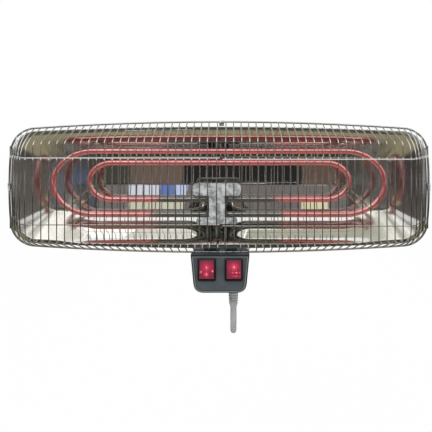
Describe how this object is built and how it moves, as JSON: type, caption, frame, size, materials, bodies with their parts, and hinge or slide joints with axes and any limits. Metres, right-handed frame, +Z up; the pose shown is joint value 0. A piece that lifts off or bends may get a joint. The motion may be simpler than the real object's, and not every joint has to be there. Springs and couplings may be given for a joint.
{
  "type": "electric bar heater",
  "caption": "Wall-mounted electric bar heater head: wire-guarded polished dish with tubular elements, tilt bracket, switch box with lit rocker switches and a coiled mains cord.",
  "frame": {"origin": "centre of the wall bracket's back face, level with the tilt axis", "axes": "+Y out of the back into the wall, +X along the long side to the viewer's right, +Z up; the heat leaves towards -Y"},
  "size_m": [0.6048, 0.2057, 0.3204],
  "materials": {
    "reflector_metal": "polished",
    "cover_paint": "satin paint",
    "grille_chrome": "bright chrome",
    "zinc_steel": "bright zinc",
    "element_sheath": "oxidised sheath, dull red at heat",
    "white_ceramic": "unglazed",
    "slate_plastic": "fine texture",
    "black_plastic": "moulded",
    "red_plastic": "translucent, lit from behind",
    "pale_plastic": "moulded",
    "cord_sheath": "smooth sheath",
    "black_rubber": "moulded",
    "lead_sleeve": "woven glass and silicone sleeve",
    "tie_plastic": "moulded",
    "pin_metal": "nickel plated",
    "bracket_paint": "satin paint"
  },
  "bodies": {
    "wall_mount": {"wall_bracket": "bracket_paint"},
    "head": {"reflector": "reflector_metal", "rear_cover": "cover_paint", "left_grille": "grille_chrome", "right_grille": "grille_chrome", "grille_clip_top": "zinc_steel", "grille_clip_bottom": "zinc_steel", "grille_clip_left": "zinc_steel", "grille_clip_right": "zinc_steel", "outer_element": "element_sheath", "inner_element": "element_sheath", "terminal_bracket": "zinc_steel", "outer_bush_left": "white_ceramic", "outer_bush_right": "white_ceramic", "inner_bush_left": "white_ceramic", "inner_bush_right": "white_ceramic", "element_spacer_left": "zinc_steel", "element_spacer_right": "zinc_steel", "switch_box_front": "slate_plastic", "switch_box_back": "slate_plastic", "left_switch_frame": "black_plastic", "right_switch_frame": "black_plastic", "cable_gland": "pale_plastic", "gland_nut": "pale_plastic", "cord_stretch": "cord_sheath", "cord_coil": "cord_sheath", "cord_tail": "cord_sheath", "coil_tie": "tie_plastic", "plug_body": "pale_plastic", "plug_pin_left": "pin_metal", "plug_pin_right": "pin_metal", "head_bracket": "bracket_paint", "tilt_bolt_left": "zinc_steel", "tilt_bolt_right": "zinc_steel", "tilt_washer_left": "zinc_steel", "tilt_washer_right": "zinc_steel", "tilt_nut_left": "zinc_steel", "tilt_nut_right": "zinc_steel", "bracket_screw_1": "zinc_steel", "bracket_screw_2": "zinc_steel", "bracket_screw_3": "zinc_steel", "bracket_screw_4": "zinc_steel", "box_screw_1": "zinc_steel", "box_screw_2": "zinc_steel", "box_screw_3": "zinc_steel", "box_screw_4": "zinc_steel", "lead_grommet": "black_rubber", "terminal_block": "pale_plastic", "switch_lead_left": "lead_sleeve", "switch_lead_right": "lead_sleeve", "element_lead": "lead_sleeve"},
    "left_rocker": {"left_rocker": "red_plastic"},
    "right_rocker": {"right_rocker": "red_plastic"}
  },
  "joints": [
    {"name": "head_tilt", "type": "hinge", "parent": "wall_mount", "child": "head", "pos_m": [0, -0.05, 0], "axis": [1, 0, 0], "range_deg": [-20, 30]},
    {"name": "left_rocker_turn", "type": "hinge", "parent": "head", "child": "left_rocker", "pos_m": [-0.0166, -0.168, -0.112], "axis": [1, 0, 0], "range_deg": [0, 16]},
    {"name": "right_rocker_turn", "type": "hinge", "parent": "head", "child": "right_rocker", "pos_m": [0.0209, -0.168, -0.112], "axis": [1, 0, 0], "range_deg": [0, 16]}
  ]
}
